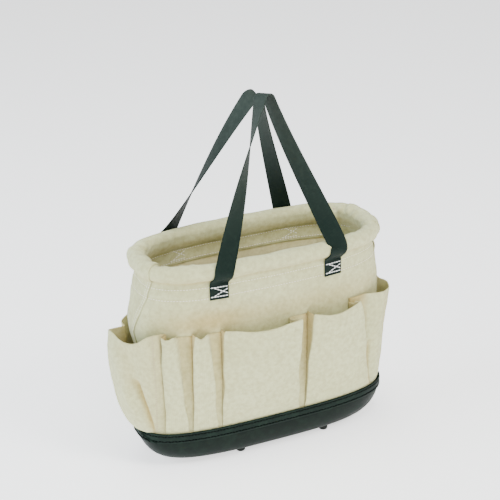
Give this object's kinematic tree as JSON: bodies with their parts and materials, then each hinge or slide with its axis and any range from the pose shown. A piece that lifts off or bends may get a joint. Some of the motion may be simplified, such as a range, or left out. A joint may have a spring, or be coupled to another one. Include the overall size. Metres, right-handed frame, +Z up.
{
  "type": "tool bucket",
  "caption": "Long oval canvas tool bucket with a moulded base on feet, a rope-stiffened rim, pleated pockets all round and folding webbing handles.",
  "frame": {"origin": "on the floor under the middle of the bag's box; the bucket's own middle is 6.7 mm to the right of it, because its left end pocket hangs open", "axes": "+X along the bucket to the right as seen from the front, +Y from the front to the back, +Z up to the handles"},
  "size_m": [0.4606, 0.208, 0.5861],
  "materials": {
    "canvas": "natural heavy cotton canvas, plain weave",
    "webbing": "dark green woven webbing with white stitching",
    "moulded_base": "dark green moulded plastic, soft sheen",
    "stitched_band": "dark green strip sewn on with black thread",
    "foot": "moulded, near black",
    "steel": "zinc plated",
    "rope": "laid fibre rope inside the hem"
  },
  "bodies": {
    "bucket": {"base_tray": "moulded_base", "base_band": "stitched_band", "canvas_floor": "canvas", "front_left_foot": "foot", "front_right_foot": "foot", "back_left_foot": "foot", "back_right_foot": "foot", "front_left_foot_washer": "steel", "front_right_foot_washer": "steel", "back_left_foot_washer": "steel", "back_right_foot_washer": "steel", "front_panel": "canvas", "back_panel": "canvas", "left_end_strip": "canvas", "right_end_strip": "canvas", "front_left_hem": "canvas", "front_middle_hem": "canvas", "front_right_hem": "canvas", "back_left_hem": "canvas", "back_middle_hem": "canvas", "back_right_hem": "canvas", "left_end_hem": "canvas", "right_end_hem": "canvas", "rim_rope": "rope", "front_narrow_pocket_1": "canvas", "front_narrow_pocket_2": "canvas", "front_wide_pocket_1": "canvas", "front_wide_pocket_2": "canvas", "right_end_pocket": "canvas", "back_narrow_pocket_1": "canvas", "back_narrow_pocket_2": "canvas", "back_wide_pocket_1": "canvas", "back_wide_pocket_2": "canvas", "left_end_pocket": "canvas", "front_left_sewn_end": "webbing", "front_right_sewn_end": "webbing", "back_left_sewn_end": "webbing", "back_right_sewn_end": "webbing"},
    "front_risers": {"front_left_riser": "webbing", "front_right_riser": "webbing"},
    "front_handle": {"front_handle_loop": "webbing"},
    "back_risers": {"back_left_riser": "webbing", "back_right_riser": "webbing"},
    "back_handle": {"back_handle_loop": "webbing"}
  },
  "joints": [
    {"name": "front_riser_hinge", "type": "hinge", "parent": "bucket", "child": "front_risers", "pos_m": [0.00666, -0.08046, 0.3205], "axis": [1, 0, 0], "range_deg": [0, 90]},
    {"name": "front_loop_hinge", "type": "hinge", "parent": "front_risers", "child": "front_handle", "pos_m": [0.00666, -0.0881, 0.355], "axis": [1, 0, 0], "range_deg": [0, 100]},
    {"name": "back_riser_hinge", "type": "hinge", "parent": "bucket", "child": "back_risers", "pos_m": [0.00666, 0.08054, 0.3205], "axis": [-1, 0, 0], "range_deg": [0, 90]},
    {"name": "back_loop_hinge", "type": "hinge", "parent": "back_risers", "child": "back_handle", "pos_m": [0.00666, 0.09379, 0.355], "axis": [-1, 0, 0], "range_deg": [0, 100]}
  ]
}
